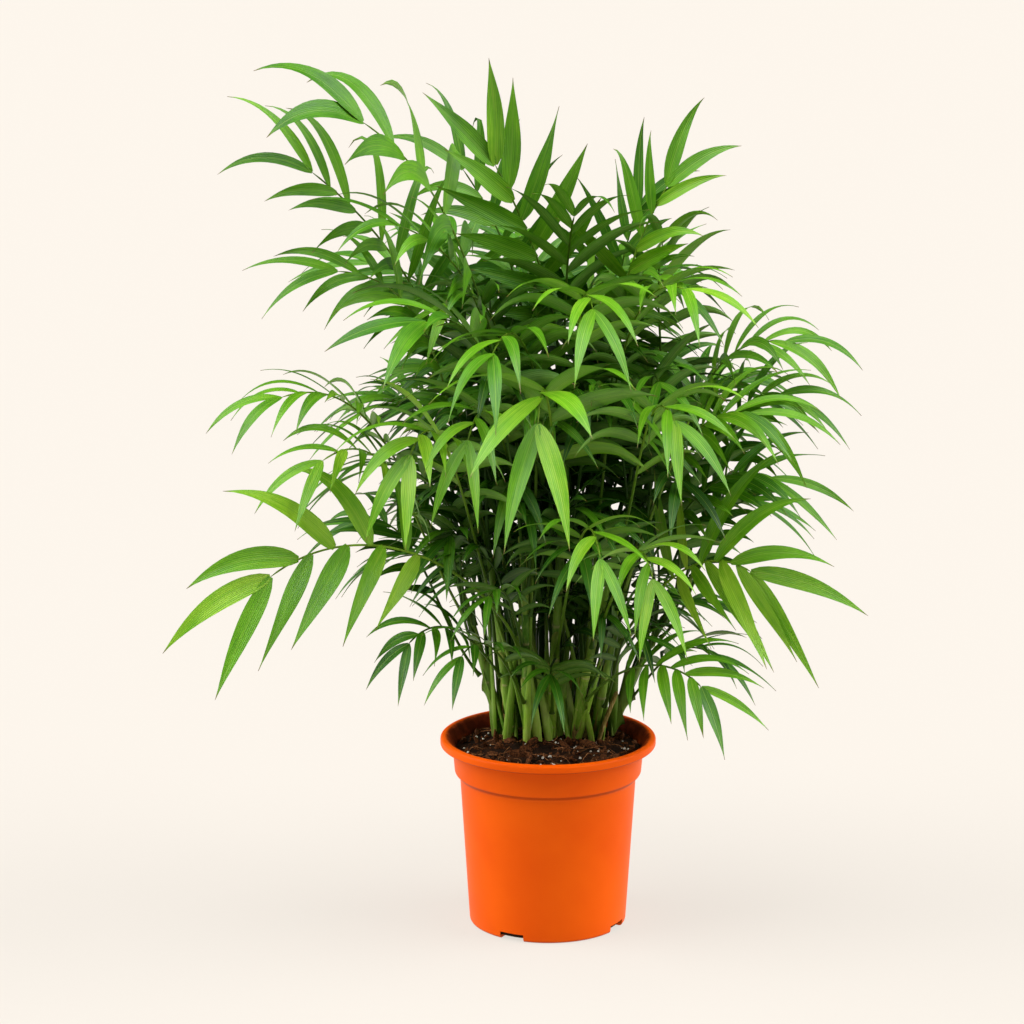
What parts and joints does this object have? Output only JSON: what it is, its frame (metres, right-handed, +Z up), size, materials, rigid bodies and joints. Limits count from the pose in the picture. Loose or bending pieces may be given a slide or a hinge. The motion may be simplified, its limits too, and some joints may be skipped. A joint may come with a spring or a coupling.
{
  "type": "potted palm",
  "caption": "Leafy parlour palm grown as a clump of thin canes with arching feather fronds, rooted in soil in a tapered plastic nursery pot with a rolled lip.",
  "frame": {"origin": "centre of the pot's flat underside, where it rests on a shelf", "axes": "+Z up along the pot's axis, -Y towards the plant's front, +X to its right seen from the front"},
  "size_m": [0.4353, 0.3921, 0.5656],
  "materials": {
    "pot_plastic": "satin orange polypropylene",
    "potting_soil": "damp dark peat with bark and perlite",
    "palm_stem": "ringed green cane with dry sheaths",
    "palm_leaf": "satin green leaf, fine parallel veins"
  },
  "bodies": {
    "root": {"pot": "pot_plastic", "soil": "potting_soil", "stem_01": "palm_stem", "stem_02": "palm_stem", "stem_03": "palm_stem", "stem_04": "palm_stem", "stem_05": "palm_stem", "stem_06": "palm_stem", "stem_07": "palm_stem", "stem_08": "palm_stem", "stem_09": "palm_stem", "stem_10": "palm_stem", "stem_11": "palm_stem", "stem_12": "palm_stem", "stem_13": "palm_stem", "stem_14": "palm_stem", "stem_15": "palm_stem", "frond_01": "palm_leaf", "frond_02": "palm_leaf", "frond_03": "palm_leaf", "frond_04": "palm_leaf", "frond_05": "palm_leaf", "frond_06": "palm_leaf", "frond_07": "palm_leaf", "frond_08": "palm_leaf", "frond_09": "palm_leaf", "frond_10": "palm_leaf", "frond_11": "palm_leaf", "frond_12": "palm_leaf", "frond_13": "palm_leaf", "frond_14": "palm_leaf", "frond_15": "palm_leaf", "frond_16": "palm_leaf", "frond_17": "palm_leaf", "frond_18": "palm_leaf", "frond_19": "palm_leaf", "frond_20": "palm_leaf", "frond_21": "palm_leaf", "frond_22": "palm_leaf", "frond_23": "palm_leaf", "frond_24": "palm_leaf", "frond_25": "palm_leaf", "frond_26": "palm_leaf", "frond_27": "palm_leaf", "frond_28": "palm_leaf", "frond_29": "palm_leaf", "frond_30": "palm_leaf", "frond_31": "palm_leaf", "frond_32": "palm_leaf", "frond_33": "palm_leaf", "frond_34": "palm_leaf", "frond_35": "palm_leaf", "frond_36": "palm_leaf", "frond_37": "palm_leaf", "frond_38": "palm_leaf", "frond_39": "palm_leaf", "frond_40": "palm_leaf", "frond_41": "palm_leaf", "frond_42": "palm_leaf"}
  },
  "joints": []
}
